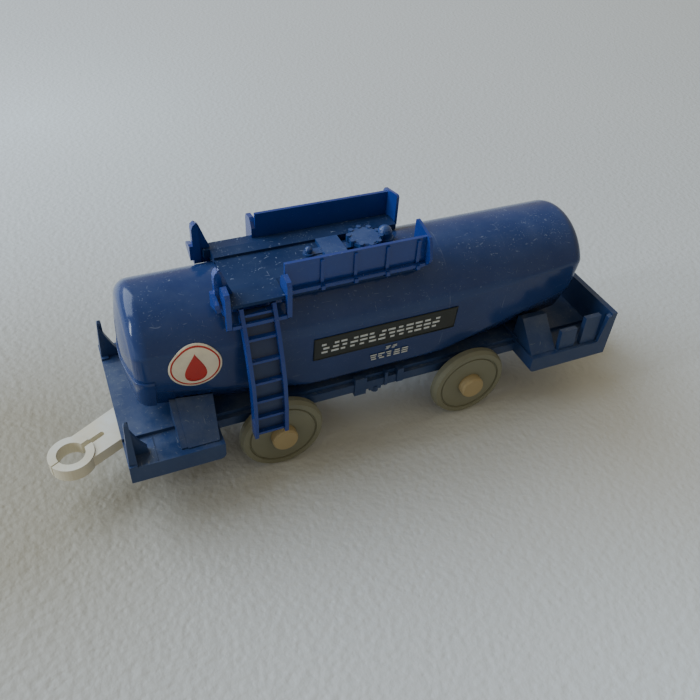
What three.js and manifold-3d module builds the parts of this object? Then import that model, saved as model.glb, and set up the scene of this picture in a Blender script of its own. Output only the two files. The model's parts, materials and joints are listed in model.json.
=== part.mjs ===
// Toy railway tank wagon: a moulded underframe on two wheelsets carries a fish-bellied tank
// shell with a walkway on its crown, a ladder on each side and a swinging coupler at each end.
// Millimetres, +Z up, +X along the wagon from the ring coupler to the hook coupler.
// The origin is on the rail surface, midway between the axles.
import * as THREE from "three";
import { mergeVertices } from "three/addons/utils/BufferGeometryUtils.js";
import Module from "manifold-3d";

const wasm = await Module();
wasm.setup();

// ---------------------------------------------------------------- driving dimensions

const BODY_WIDTH = 38;
const RING_END_X = -55.8;
const HOOK_END_X = 58.6;
const PLATFORM_INNER_X = 36.8;
const SKIRT_BOTTOM_Z = 12;
const SIDE_DECK_Z = 16.2;
const CENTRE_DECK_Z = 17;
const END_WALL_TOP_Z = 24.5;
const WALL = 1.4;

const WHEELBASE = 46.5;
const WHEEL_RADIUS = 9.35;
const WHEEL_WIDTH = 2.4;
const WHEEL_OUTER_Y = 15.1;
const HUB_RADIUS = 2.85;
const HUB_OUTER_Y = 17;
const SHAFT_RADIUS = 2;
const BEARING_CLEARANCE = 0.1;

const TANK_RADIUS = 12.5;
const TANK_AXIS_Z = 31.65;
const TANK_HALF_LENGTH = 52.3;
const TANK_EDGE_RADIUS = 3.2;
const TANK_WALL = 1.6;
const TANK_DOME_HEIGHT = 1.2;
const BELLY_HALF_LENGTH = 16;
const TAPER_END_X = 48;

const BOARD_TOP_Z = 45.1;
const RAIL_TOP_Z = 50;
const RAIL_START_X = -20.6;
const RAIL_END_X = 9.2;
const LANDING_X = -27;
const LADDER_FACE_Y = 19;
const LADDER_BOTTOM_Z = 15;

const COUPLER_TOP_Z = 11.8;
const COUPLER_THICKNESS = 2.7;
const RING_PIVOT_X = -52.6;
const HOOK_PIVOT_X = 55.4;
const RING_REACH = 15.1;
const RING_RADIUS = 4.6;
const HOOK_TIP_X = 70.4;
const RING_SWING_AT_REST = THREE.MathUtils.degToRad(28.5);

const SIDES = { near: -1, far: 1 };

// ---------------------------------------------------------------- materials

const plastic = (color, roughness) => new THREE.MeshStandardMaterial({ color, roughness, metalness: 0 });
const tankBlue = plastic(0x1f3c6e, 0.3);
const walkwayBlue = plastic(0x1c4a9c, 0.35);
const underframeBlue = plastic(0x213f6d, 0.45);
const wheelGrey = plastic(0x7f7f70, 0.6);
const axleBeige = plastic(0xb7a98a, 0.55);
const couplerWhite = plastic(0xd8d5cb, 0.5);
const labelCream = plastic(0xe0d2b4, 0.5);
const labelBlack = plastic(0x20231f, 0.5);
const screwSteel = new THREE.MeshStandardMaterial({ color: 0x9a9a98, roughness: 0.35, metalness: 1 });

// ---------------------------------------------------------------- solids

function solidOf(geometry) {
  const bare = geometry.clone();
  bare.deleteAttribute("normal");
  bare.deleteAttribute("uv");
  const merged = mergeVertices(bare, 1e-4);
  return new wasm.Manifold(new wasm.Mesh({
    numProp: 3,
    vertProperties: new Float32Array(merged.attributes.position.array),
    triVerts: new Uint32Array(merged.index.array),
  }));
}

function geometryOf(solid) {
  const mesh = solid.getMesh();
  const geometry = new THREE.BufferGeometry();
  geometry.setAttribute("position", new THREE.BufferAttribute(mesh.vertProperties, 3));
  geometry.setIndex(new THREE.BufferAttribute(mesh.triVerts, 1));
  geometry.computeVertexNormals();
  return geometry;
}

const join = (...solids) => solids.flat().reduce((whole, solid) => whole.add(solid));
const cut = (solid, ...tools) => tools.flat().reduce((whole, tool) => whole.subtract(tool), solid);

const outline = (points) => new THREE.Shape(points.map(([a, b]) => new THREE.Vector2(a, b)));

function box(x0, x1, y0, y1, z0, z1) {
  const geometry = new THREE.BoxGeometry(Math.abs(x1 - x0), Math.abs(y1 - y0), Math.abs(z1 - z0));
  geometry.translate((x0 + x1) / 2, (y0 + y1) / 2, (z0 + z1) / 2);
  return solidOf(geometry);
}

// Directions that an outline's first axis, second axis and depth take in the model.
const EXTRUSIONS = {
  x: [new THREE.Vector3(0, 1, 0), new THREE.Vector3(0, 0, 1), new THREE.Vector3(1, 0, 0)],
  y: [new THREE.Vector3(0, 0, 1), new THREE.Vector3(1, 0, 0), new THREE.Vector3(0, 1, 0)],
  z: [new THREE.Vector3(1, 0, 0), new THREE.Vector3(0, 1, 0), new THREE.Vector3(0, 0, 1)],
};

// An outline in (y, z), (z, x) or (x, y) drawn out along the named axis.
function prism(shape, axis, from, to, curveSegments = 12) {
  const low = Math.min(from, to);
  const depth = Math.abs(to - from);
  const geometry = new THREE.ExtrudeGeometry(shape, { depth, bevelEnabled: false, curveSegments });
  geometry.translate(0, 0, low);
  geometry.applyMatrix4(new THREE.Matrix4().makeBasis(...EXTRUSIONS[axis]));
  return solidOf(geometry);
}

// An outline given in (x, z) and drawn out along y.
const sidePlate = (points, from, to) => prism(outline(points.map(([x, z]) => [z, x])), "y", from, to);

function cylinderZ(radius, x, y, z0, z1, segments = 24) {
  const geometry = new THREE.CylinderGeometry(radius, radius, z1 - z0, segments);
  geometry.rotateX(Math.PI / 2);
  geometry.translate(x, y, (z0 + z1) / 2);
  return solidOf(geometry);
}

const hullOf = (points) => wasm.Manifold.hull(points);

function ball(radius, x, y, z) {
  const geometry = new THREE.SphereGeometry(radius, 16, 10);
  geometry.rotateX(Math.PI / 2);
  geometry.translate(x, y, z);
  return solidOf(geometry);
}

// A profile of (radius, y) turned about a wheelset's axis. A vertex points straight down.
function turnedAboutY(profile, x, z, segments = 40) {
  const geometry = new THREE.LatheGeometry(profile.map(([r, y]) => new THREE.Vector2(r, y)), segments);
  geometry.translate(x, 0, z);
  return solidOf(geometry);
}

// A closed solid through loops of points that all have the same count.
function loft(loops) {
  const count = loops[0].length;
  const positions = [];
  const indices = [];
  for (const loop of loops) {
    for (const point of loop) positions.push(...point);
  }
  for (let ring = 0; ring + 1 < loops.length; ring += 1) {
    for (let i = 0; i < count; i += 1) {
      const a = ring * count + i;
      const b = ring * count + ((i + 1) % count);
      indices.push(a, b + count, b, a, a + count, b + count);
    }
  }
  const last = (loops.length - 1) * count;
  for (let i = 1; i + 1 < count; i += 1) {
    indices.push(0, i, i + 1);
    indices.push(last, last + i + 1, last + i);
  }
  const geometry = new THREE.BufferGeometry();
  geometry.setAttribute("position", new THREE.Float32BufferAttribute(positions, 3));
  geometry.setIndex(indices);
  return solidOf(geometry);
}

const wagon = new THREE.Group();

function add(name, solid, material, parent = wagon) {
  const mesh = new THREE.Mesh(geometryOf(solid), material);
  mesh.name = name;
  parent.add(mesh);
}

// ---------------------------------------------------------------- tank

const mix = THREE.MathUtils.lerp;

// Half of the tank's cross-section at x, from the crown down to the bottom edge: an arc, a
// nearly upright wall and a turned-in lower strip. Towards the ends the belly rises and narrows.
function halfSection(x) {
  const taper = THREE.MathUtils.clamp(
    (Math.abs(x) - BELLY_HALF_LENGTH) / (TAPER_END_X - BELLY_HALF_LENGTH), 0, 1);
  const creaseZ = mix(33.4, 36.2, taper);
  const creaseAngle = Math.asin((creaseZ - TANK_AXIS_Z) / TANK_RADIUS);
  const arcSteps = 12;
  const points = [];
  for (let i = 0; i <= arcSteps; i += 1) {
    const angle = mix(Math.PI / 2, creaseAngle, i / arcSteps);
    points.push([TANK_RADIUS * Math.cos(angle), TANK_AXIS_Z + TANK_RADIUS * Math.sin(angle)]);
  }
  points.push([mix(11.5, 10.6, taper), mix(19, 28, taper)]);
  points.push([mix(9.7, 7.8, taper), mix(17.3, 20.8, taper)]);
  return points;
}

const SECTION_CENTRE_Z = 31;

function fullSection(x, shrink) {
  const half = halfSection(x).map(([y, z]) => [y * shrink, SECTION_CENTRE_Z + (z - SECTION_CENTRE_Z) * shrink]);
  const left = half.slice(1).map(([y, z]) => [-y, z]);
  return [...half.reverse(), ...left];
}

// Stations from one end to the other: a slightly domed cap, a rounded edge and the barrel.
function tankStations(radius, halfLength, edgeRadius, domeHeight) {
  const cap = [];
  for (const share of [0.08, 0.55]) {
    cap.push({ x: halfLength + domeHeight * (1 - share * share), shrink: share * (radius - edgeRadius) });
  }
  const edgeSteps = 5;
  for (let i = 0; i <= edgeSteps; i += 1) {
    const angle = (Math.PI / 2) * (1 - i / edgeSteps);
    cap.push({
      x: halfLength - edgeRadius * (1 - Math.sin(angle)),
      shrink: radius - edgeRadius * (1 - Math.cos(angle)),
    });
  }
  const barrel = [
    { x: BELLY_HALF_LENGTH + 0.5 * (TAPER_END_X - BELLY_HALF_LENGTH), shrink: radius },
    { x: BELLY_HALF_LENGTH, shrink: radius },
  ];
  const half = [...cap, ...barrel];
  const mirrored = half.map(({ x, shrink }) => ({ x: -x, shrink })).reverse();
  return [...half, ...mirrored].map(({ x, shrink }) => ({ x, shrink: shrink / TANK_RADIUS }));
}

const sectionLoop = ({ x, shrink }) => fullSection(x, shrink).map(([y, z]) => [x, y, z]);

const BODY_SCREW_X = [-40.6, 40.6];
const TANK_BOSS_RADIUS = 2.6;
const TANK_BOSS_BOTTOM_Z = 17.05;
const SCREW_SHANK_RADIUS = 1.2;
const SCREW_HOLE_RADIUS = 1.4;
const SEAT_GAP = 0.1;
const LIP_THICKNESS = 0.35;
const LIP_EDGE_X = -47.6;
const LIP_TOP_Z = 29.4;

// The tank's solid outline, grown outwards by lift.
function tankOutside(lift) {
  return loft(tankStations(TANK_RADIUS + lift, TANK_HALF_LENGTH - TANK_DOME_HEIGHT + lift, TANK_EDGE_RADIUS,
    TANK_DOME_HEIGHT).map(sectionLoop));
}

function tankShell() {
  const outside = tankOutside(0);
  const hollowStations = tankStations(TANK_RADIUS - TANK_WALL, TANK_HALF_LENGTH - TANK_DOME_HEIGHT - TANK_WALL,
    TANK_EDGE_RADIUS - TANK_WALL, TANK_DOME_HEIGHT);
  const openBelow = (loop) => loop.map(([x, y, z], i) => [x, y, i === 0 || i === loop.length - 1 ? 14 : z]);
  const hollow = loft(hollowStations.map(sectionLoop).map(openBelow));
  const bosses = BODY_SCREW_X.map((x) => cylinderZ(TANK_BOSS_RADIUS, x, 0, TANK_BOSS_BOTTOM_Z, 42.8));
  const pilotHoles = BODY_SCREW_X.map((x) => cylinderZ(SCREW_HOLE_RADIUS, x, 0, 10, 30));
  const lip = cut(tankOutside(LIP_THICKNESS), outside).intersect(box(-60, LIP_EDGE_X, -20, 20, 10, LIP_TOP_Z));
  return cut(join(cut(join(outside, lip), hollow), bosses), pilotHoles);
}

add("tank_shell", tankShell(), tankBlue);

// ---------------------------------------------------------------- labels on the tank

const LABEL_THICKNESS = 0.25;
const LABEL_GAP = 0.12;
const labelSkin = cut(tankOutside(LABEL_GAP + LABEL_THICKNESS), tankOutside(LABEL_GAP));

// A thin label that follows the tank's side, with an outline given in (z, x).
const label = (side, shape) => labelSkin.intersect(prism(shape, "y", side * 6, side * 16));

const EMBLEM_X = -39.7;
const EMBLEM_Z = 31.9;
const EMBLEM_HALF_WIDTH = 5.2;
const EMBLEM_HALF_HEIGHT = 5.5;
const STRIP_X = [-15.6, 17.8];
const STRIP_Z = [26.1, 32.1];

const emblemOutline = new THREE.Shape().absellipse(
  EMBLEM_Z, EMBLEM_X, EMBLEM_HALF_HEIGHT, EMBLEM_HALF_WIDTH, 0, 2 * Math.PI);
const stripOutline = outline([
  [STRIP_Z[0], STRIP_X[0]], [STRIP_Z[1], STRIP_X[0]], [STRIP_Z[1], STRIP_X[1]], [STRIP_Z[0], STRIP_X[1]],
]);

for (const [name, side] of Object.entries(SIDES)) {
  add(`${name}_emblem_label`, label(side, emblemOutline), labelCream);
  add(`${name}_name_strip`, label(side, stripOutline), labelBlack);
}

// ---------------------------------------------------------------- walkway

const PAN_BOTTOM_Z = 44.3;
const PAN_TOP_Z = 44.55;
const DECK_START_X = -31;
const BOARD_INNER_Y = 3.5;
const BOARD_OUTER_Y = 8.85;
const BOARD_BEND_Y = 6.6;
const BOARD_EDGE_Z = 44.5;
const RAIL_INNER_Y = 8.9;
const LANDING_HALF_WIDTH = 5.35;
const LANDING_EDGE = { near: [12.2, 44.85], far: [10.6, 44.1] };
const CHEEK_THICKNESS = 1;
const CHEEK_OFFSET = 5.9;
const RAIL_OUTER_Y = 9.6;
const LEDGE_OUTER_Y = 10.5;
const LEDGE_TOP_Z = 44.2;
const RIB_X = [-13.3, -6.3, 0.6, 7.4];

// The barrel at its widest, with a little room round it, to trim what sits on the tank.
const barrelClearance = loft([60, -60].map((x) => {
  const shrink = (TANK_RADIUS + 0.12) / TANK_RADIUS;
  return fullSection(0, shrink).map(([y, z]) => [x, y, z - (SECTION_CENTRE_Z - TANK_AXIS_Z) * (1 - shrink)]);
}));

// Boards on both sides of a shallow channel, with a landing over each ladder.
function walkwayDeck() {
  const pan = box(DECK_START_X, -4.9, -BOARD_INNER_Y - 0.2, BOARD_INNER_Y + 0.2, PAN_BOTTOM_Z, PAN_TOP_Z);
  const boards = Object.entries(SIDES).map(([name, side]) => {
    const board = outline([
      [side * BOARD_INNER_Y, 41.5], [side * BOARD_INNER_Y, BOARD_TOP_Z], [side * BOARD_BEND_Y, BOARD_TOP_Z],
      [side * BOARD_OUTER_Y, BOARD_EDGE_Z], [side * BOARD_OUTER_Y, 41.5],
    ]);
    const [edgeY, edgeZ] = LANDING_EDGE[name];
    const landing = outline([
      [side * BOARD_BEND_Y, 43.3], [side * BOARD_BEND_Y, BOARD_TOP_Z], [side * edgeY, edgeZ],
      [side * edgeY, edgeZ - 0.7],
    ]);
    return join(prism(board, "x", DECK_START_X, RAIL_END_X - 0.2),
      prism(landing, "x", LANDING_X - LANDING_HALF_WIDTH, LANDING_X + LANDING_HALF_WIDTH));
  });
  return cut(join(pan, boards), barrelClearance);
}

const CHEEK_OUTLINE = [
  [9, 42], [9, 46.6], [9.8, 47.9], [10.5, 48.5], [12.8, 48.1], [13.3, 47.2], [13.3, 40.3], [12.8, 39.7],
  [12.2, 40.2], [12.2, 42.9], [10.4, 42],
];

// A side rail on its ledge, the cheeks beside the ladder's head, an end wing and an end fin.
function rail(name, deck) {
  const side = SIDES[name];
  const cheekOutline = outline(CHEEK_OUTLINE.map(([y, z]) => [side * y, z]));
  const cheeks = [-CHEEK_OFFSET, CHEEK_OFFSET].map((offset) => prism(cheekOutline, "x",
    LANDING_X + offset - CHEEK_THICKNESS / 2, LANDING_X + offset + CHEEK_THICKNESS / 2));
  const tieStrip = box(LANDING_X - CHEEK_OFFSET, RAIL_START_X, side * RAIL_INNER_Y, side * RAIL_OUTER_Y, 41.4, 43.2);

  const startX = RAIL_START_X - 0.2;
  const panel = box(startX, RAIL_END_X, side * RAIL_INNER_Y, side * RAIL_OUTER_Y, 42.6, RAIL_TOP_Z);
  const ledge = box(startX, RAIL_END_X, side * RAIL_INNER_Y, side * LEDGE_OUTER_Y, 43.5, LEDGE_TOP_Z);
  const ribs = RIB_X.map((x) => box(x - 0.35, x + 0.35, side * 9.4, side * (RAIL_OUTER_Y + 0.4), 44, 49.5));
  const brackets = RIB_X.map((x) => prism(outline([
    [side * RAIL_INNER_Y, 42], [side * RAIL_INNER_Y, 44], [side * 10.8, 44], [side * 10.8, 43.1],
  ]), "x", x - 0.4, x + 0.4));
  const wing = prism(outline([
    [side * 4.5, 44.3], [side * 4.5, 51], [side * 4.9, 51.3], [side * 5.4, 51.3], [side * 10.4, 50.2],
    [side * 10.9, 49.5], [side * 11.9, 46], [side * 11.6, 44.9], [side * 10.4, 43.5], [side * 8, 43.5],
  ]), "x", RAIL_END_X - 0.1, RAIL_END_X + 0.5);

  const fin = sidePlate([
    [-33.9, 41.4], [-33.9, 50], [-33.5, 50.7], [-33, 50.9], [-32.6, 50.4], [-31.9, 48.4], [-31.3, 46.6],
    [-30.8, 45.4], [-30.8, 41.4],
  ], side * 7.95, side * 8.6);
  const finEdge = sidePlate([
    [-34.2, 41.4], [-34.2, 49.6], [-33.9, 50.5], [-33.4, 50.9], [-33, 50.6], [-32.8, 50], [-32.7, 41.4],
  ], side * 7.5, side * 9.1);
  const foot = prism(outline([
    [side * 7.6, 42.6], [side * 7.6, 45.9], [side * 8.6, 45.9], [side * 11.2, 45], [side * 11.3, 44.2], [side * 9, 43],
  ]), "x", -34.9, -34);
  const whole = join(cheeks, tieStrip, panel, ledge, ribs, brackets, wing, fin, finEdge, foot);
  return cut(whole, barrelClearance, deck);
}

// Filler lid with its dogs, valve box, knob and dome on one thin base strip.
function crownFittings() {
  const base = PAN_TOP_Z + 0.02;
  const strip = box(-13.2, 5.4, -1, 1, base, base + 0.15);
  const lid = [cylinderZ(3.1, 0, 0, 44.3, 46.2), cylinderZ(3.45, 0, 0, 45.3, 46.05)];
  const dogs = Array.from({ length: 10 }, (_, i) => {
    const angle = ((2 * Math.PI) / 10) * (i + 0.5);
    return cylinderZ(0.55, 3.4 * Math.cos(angle), 3.4 * Math.sin(angle), BOARD_TOP_Z + 0.05, 46.4, 8);
  });
  const valveBox = box(-9.8, -5, -3.1, 3.1, base, 45.5);
  const knob = [cylinderZ(1.2, -12.5, -0.3, base, 44.95, 16), ball(0.85, -12.5, -0.3, 45.45)];
  const dome = [cylinderZ(2, 4.75, 0.3, 44.3, 44.95, 20), cylinderZ(1.6, 4.75, 0.3, 44.3, 46.2, 20),
    ball(1.6, 4.75, 0.3, 45.9)];
  return join(strip, lid, dogs, valveBox, knob, dome);
}

const walkway = walkwayDeck();
add("walkway_deck", walkway, walkwayBlue);
add("crown_fittings", crownFittings(), walkwayBlue);
for (const name of Object.keys(SIDES)) {
  add(`${name}_rail`, rail(name, walkway), walkwayBlue);
}

// ---------------------------------------------------------------- ladders

// Outer face of a ladder as (y, z): it leans out from under the landing and then hangs upright.
const LADDER_LINE = [[12, 44], [15.1, 37.5], [16.9, 32.8], [18.3, 28.2], [LADDER_FACE_Y, 22], [LADDER_FACE_Y, 15]];
const LADDER_TOP_Z = { near: 43.7, far: 42.5 };
const LADDER_HALF_WIDTH = 3.6;
const STILE_THICKNESS = 0.8;
const STILE_DEPTH = 2.2;
const LOWEST_RUNG_Z = 15.7;
const RUNG_PITCH = 4.38;
const RUNG_COUNT = { near: 7, far: 6 };
const BACKPLATE_TOP_Z = 41.6;

function ladderFaceY(z) {
  const below = LADDER_LINE.findIndex(([, height]) => height <= z);
  const [y1, z1] = LADDER_LINE[Math.max(below, 1)];
  const [y0, z0] = LADDER_LINE[Math.max(below, 1) - 1];
  return mix(y1, y0, (z - z1) / (z0 - z1));
}

// A strip that follows the ladder's bends between two depths behind its outer face.
function ladderStrip(side, x0, x1, zBottom, zTop, front, back) {
  const bends = LADDER_LINE.map(([, z]) => z).filter((z) => z > zBottom && z < zTop);
  const heights = [zTop, ...bends, zBottom];
  const outer = heights.map((z) => [side * (ladderFaceY(z) - front), z]);
  const inner = heights.map((z) => [side * (ladderFaceY(z) - back), z]).reverse();
  return prism(outline([...outer, ...inner]), "x", x0, x1);
}

function ladder(name) {
  const side = SIDES[name];
  const stiles = [-1, 1].map((hand) => ladderStrip(side,
    LANDING_X + hand * LADDER_HALF_WIDTH, LANDING_X + hand * (LADDER_HALF_WIDTH - STILE_THICKNESS),
    LADDER_BOTTOM_Z + 0.05, LADDER_TOP_Z[name], 0, STILE_DEPTH));
  const backplate = ladderStrip(side, LANDING_X - LADDER_HALF_WIDTH + 0.3, LANDING_X + LADDER_HALF_WIDTH - 0.3,
    LOWEST_RUNG_Z, Math.min(BACKPLATE_TOP_Z, LADDER_TOP_Z[name]), 1.5, STILE_DEPTH);
  const rungs = Array.from({ length: RUNG_COUNT[name] }, (_, i) => {
    const z = LOWEST_RUNG_Z + i * RUNG_PITCH;
    const y = ladderFaceY(z);
    return box(LANDING_X - LADDER_HALF_WIDTH + 0.5, LANDING_X + LADDER_HALF_WIDTH - 0.5,
      side * (y - STILE_DEPTH + 0.2), side * (y - 0.6), z - 0.3, z + 0.3);
  });
  const tieReach = CHEEK_OFFSET - CHEEK_THICKNESS / 2 - 0.1;
  const tie = box(LANDING_X - tieReach, LANDING_X + tieReach, side * 12.7, side * 13.3, 40.1, 40.9);
  return join(stiles, backplate, rungs, tie);
}

for (const name of Object.keys(SIDES)) {
  add(`${name}_ladder`, ladder(name), walkwayBlue);
}

// ---------------------------------------------------------------- underframe

const HALF_WIDTH = BODY_WIDTH / 2;
const DECK_BOTTOM_Z = 14.8;
const SOLEBAR_Y = 11;
const SOLEBAR_THICKNESS = 1.2;
const POST_SPANS = [[-5.3, -2.5, 11.9], [2, 2.7, 13], [5.1, 6.7, 13]];
const FLOOR_TOP_Z = 16.2;
const SOLEBAR_BOTTOM_Z = 12.9;
const SOLEBAR_TOP_Z = 15.2;
const FLOOR_HALF_WIDTH = 10.6;
const CENTRE_PANEL_HALF_WIDTH = 11.5;
const PEDESTAL_INNER_Y = 9.2;
const PEDESTAL_OUTER_Y = 10.9;
const PIVOT_BOSS_RADIUS = 3.2;

// A hollow platform: deck, side skirts, end beam and a raised centre panel.
function platform(endX, innerX) {
  const hand = Math.sign(endX);
  const deck = box(endX, innerX, -HALF_WIDTH, HALF_WIDTH, DECK_BOTTOM_Z, SIDE_DECK_Z);
  const panel = box(endX, innerX, -CENTRE_PANEL_HALF_WIDTH, CENTRE_PANEL_HALF_WIDTH,
    DECK_BOTTOM_Z, CENTRE_DECK_Z);
  const endBeam = box(endX, endX - hand * WALL, -HALF_WIDTH, HALF_WIDTH, SKIRT_BOTTOM_Z, SIDE_DECK_Z);
  const innerBeam = box(innerX, innerX + hand * WALL, -HALF_WIDTH, HALF_WIDTH, SKIRT_BOTTOM_Z, SIDE_DECK_Z);
  const skirts = [-1, 1].map((side) => box(endX, innerX, side * HALF_WIDTH, side * (HALF_WIDTH - WALL),
    SKIRT_BOTTOM_Z, SIDE_DECK_Z));
  const ridges = [-1, 1].map((side) => box(endX - hand * 5.5, endX - hand * 5.7, side * 12.2, side * 18.6,
    SIDE_DECK_Z - 0.1, SIDE_DECK_Z + 0.15));
  const cornerX = innerX + hand * 1.3;
  const corners = cut(box(innerX - hand * 0.5, cornerX, -HALF_WIDTH - 1, HALF_WIDTH + 1, SKIRT_BOTTOM_Z - 1,
    SKIRT_BOTTOM_Z + 1.3), turnedAboutY([[0, -25], [1.3, -25], [1.3, 25], [0, 25]], cornerX, SKIRT_BOTTOM_Z + 1.3));
  return cut(join(deck, panel, endBeam, innerBeam, skirts, ridges), corners);
}

// A wedge from the deck's edge up to the tank's lower strip, with a lower rib on its outer side.
function ringEndSaddle(side) {
  const wedge = outline([
    [side * 7.6, DECK_BOTTOM_Z], [side * 7.6, 22.9], [side * 17.8, 16.5], [side * 17.8, DECK_BOTTOM_Z],
  ]);
  const rib = outline([
    [side * 8.6, DECK_BOTTOM_Z], [side * 8.6, 21.8], [side * 11, 20.3], [side * 17.5, SIDE_DECK_Z + 0.3],
    [side * 17.5, DECK_BOTTOM_Z],
  ]);
  const inner = prism(outline([[-16.5, -37.6], [-16.5, -41], [-22.9, -41], [-22.9, -36.3]].map(
    ([z, x]) => [-z, x])), "y", side * 7.6, side * 17.8);
  const flare = prism(wedge, "x", -42, -36.3).intersect(inner);
  return join(prism(wedge, "x", -44, -37.6), flare, prism(rib, "x", -45.3, -43.9));
}

function hookEndSaddle(side) {
  const wedge = outline([
    [side * 9.4, DECK_BOTTOM_Z], [side * 9.8, 22.2], [side * 11.6, 22.6], [side * 17.8, 16.3],
    [side * 17.8, DECK_BOTTOM_Z],
  ]);
  return prism(wedge, "x", 37.3, 43.9);
}

// A tapering handrail post with a gusset, at a corner of the ring end.
function cornerPost(side) {
  const x = RING_END_X;
  const post = hullOf([
    [x + 0.05, side * 14.6, SIDE_DECK_Z - 1], [x + 1.7, side * 14.6, SIDE_DECK_Z - 1],
    [x + 0.05, side * 18.9, SIDE_DECK_Z - 1], [x + 1.7, side * 18.9, SIDE_DECK_Z - 1],
    [x + 0.7, side * 15.3, 25.4], [x + 1.6, side * 15.3, 25.4], [x + 0.7, side * 16.4, 25.4],
    [x + 1.6, side * 16.4, 25.4], [x + 1, side * 15.8, 26], [x + 1.3, side * 15.8, 26],
  ]);
  const gusset = sidePlate([
    [x + 1, SIDE_DECK_Z - 1], [x + 1, 24.6], [x + 1.9, 22], [x + 3.2, 19], [x + 4.3, 17.4],
    [x + 4.3, SIDE_DECK_Z - 1],
  ], side * 14.7, side * 15.9);
  const block = box(x, x + 1.6, side * 13.8, side * HALF_WIDTH, SIDE_DECK_Z - 1, SIDE_DECK_Z + 0.4);
  return join(post, gusset, block);
}

// Two upright tabs that lean inwards on the deck's edge at the hook end.
function brakeTabs(side) {
  const tab = (x0, x1, topZ) => {
    const leaning = outline([
      [side * 18.3, DECK_BOTTOM_Z], [side * 17.1, DECK_BOTTOM_Z], [side * 16.7, topZ], [side * 17.8, topZ],
    ]);
    return prism(leaning, "x", x0, x1);
  };
  return join(tab(44.5, 48.9, 21.4), tab(50.7, 55, 23.8));
}

function endWall() {
  const wall = box(HOOK_END_X - WALL, HOOK_END_X, -HALF_WIDTH, HALF_WIDTH, SIDE_DECK_Z - 1, END_WALL_TOP_Z);
  const returns = [-1, 1].map((side) => sidePlate([
    [HOOK_END_X - 0.2, SIDE_DECK_Z - 1], [HOOK_END_X - 0.2, END_WALL_TOP_Z], [HOOK_END_X - 2.2, END_WALL_TOP_Z - 1],
    [HOOK_END_X - 3.2, SIDE_DECK_Z], [HOOK_END_X - 3.2, SIDE_DECK_Z - 1],
  ], side * HALF_WIDTH, side * (HALF_WIDTH - 1.1)));
  return join(wall, returns);
}

function solebar(side) {
  const y0 = side * (SOLEBAR_Y - SOLEBAR_THICKNESS / 2);
  const y1 = side * (SOLEBAR_Y + SOLEBAR_THICKNESS / 2);
  const bar = box(-PLATFORM_INNER_X - 1, PLATFORM_INNER_X + 1, y0, y1, SOLEBAR_BOTTOM_Z, SOLEBAR_TOP_Z);
  const posts = POST_SPANS.map(([x0, x1, z0]) => box(x0, x1, y0, y1 + side * 0.3, z0, FLOOR_TOP_Z + 0.6));
  const hanger = cylinderZ(0.9, 0, side * SOLEBAR_Y, 11.6, 13, 12);
  const hangerBar = box(-1.6, 1.4, y0, y1, 12.2, 13.2);
  return join(bar, posts, hanger, hangerBar);
}

function pedestal(x, side) {
  const plate = box(x - 4.2, x + 4.2, side * PEDESTAL_INNER_Y, side * PEDESTAL_OUTER_Y, 6.2, 15.2);
  const hole = turnedAboutY(
    [[0, 8], [SHAFT_RADIUS + BEARING_CLEARANCE, 8], [SHAFT_RADIUS + BEARING_CLEARANCE, 12], [0, 12]],
    x, WHEEL_RADIUS, 32);
  const bore = side > 0 ? hole : hole.mirror([0, 1, 0]);
  const slot = box(x - SHAFT_RADIUS - 0.1, x + SHAFT_RADIUS + 0.1, side * 8, side * 12, 5, WHEEL_RADIUS);
  return cut(plate, bore, slot);
}

function underframe() {
  const tankClearance = tankOutside(SEAT_GAP);
  const floor = box(-PLATFORM_INNER_X - 1, PLATFORM_INNER_X + 1, -FLOOR_HALF_WIDTH, FLOOR_HALF_WIDTH,
    DECK_BOTTOM_Z, FLOOR_TOP_Z);
  const keel = box(-PLATFORM_INNER_X - 1, PLATFORM_INNER_X + 1, -2, 2, 12.4, DECK_BOTTOM_Z + 0.2);
  const axleX = [-WHEELBASE / 2, WHEELBASE / 2];
  const axleSlots = axleX.map((x) => box(x - 3.4, x + 3.4, -2.4, 2.4, 12, DECK_BOTTOM_Z));
  const sides = [-1, 1];
  const pivotBosses = [RING_PIVOT_X, HOOK_PIVOT_X].map(
    (x) => cylinderZ(PIVOT_BOSS_RADIUS, x, 0, COUPLER_TOP_Z + 0.1, DECK_BOTTOM_Z + 0.2));
  const screwBosses = BODY_SCREW_X.map((x) => cylinderZ(3.4, x, 0, SKIRT_BOTTOM_Z, DECK_BOTTOM_Z + 0.2));
  const whole = join(
    platform(RING_END_X, -PLATFORM_INNER_X),
    platform(HOOK_END_X, PLATFORM_INNER_X),
    cut(join(floor, keel), axleSlots),
    sides.map((side) => solebar(side)),
    axleX.flatMap((x) => sides.map((side) => pedestal(x, side))),
    sides.map((side) => cut(join(ringEndSaddle(side), hookEndSaddle(side)), tankClearance)),
    sides.map((side) => cornerPost(side)),
    sides.map((side) => brakeTabs(side)),
    endWall(),
    pivotBosses,
    screwBosses,
  );
  const pivotHoles = [RING_PIVOT_X, HOOK_PIVOT_X].map((x) => cylinderZ(SCREW_HOLE_RADIUS, x, 0, 10, 16));
  const bodyScrewHoles = BODY_SCREW_X.map((x) => cylinderZ(SCREW_HOLE_RADIUS, x, 0, 10, 20));
  const headRecesses = BODY_SCREW_X.map((x) => cylinderZ(2.5, x, 0, 10, 13.6));
  return cut(whole, pivotHoles, bodyScrewHoles, headRecesses);
}

add("underframe", underframe(), underframeBlue);

// ---------------------------------------------------------------- screws

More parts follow.
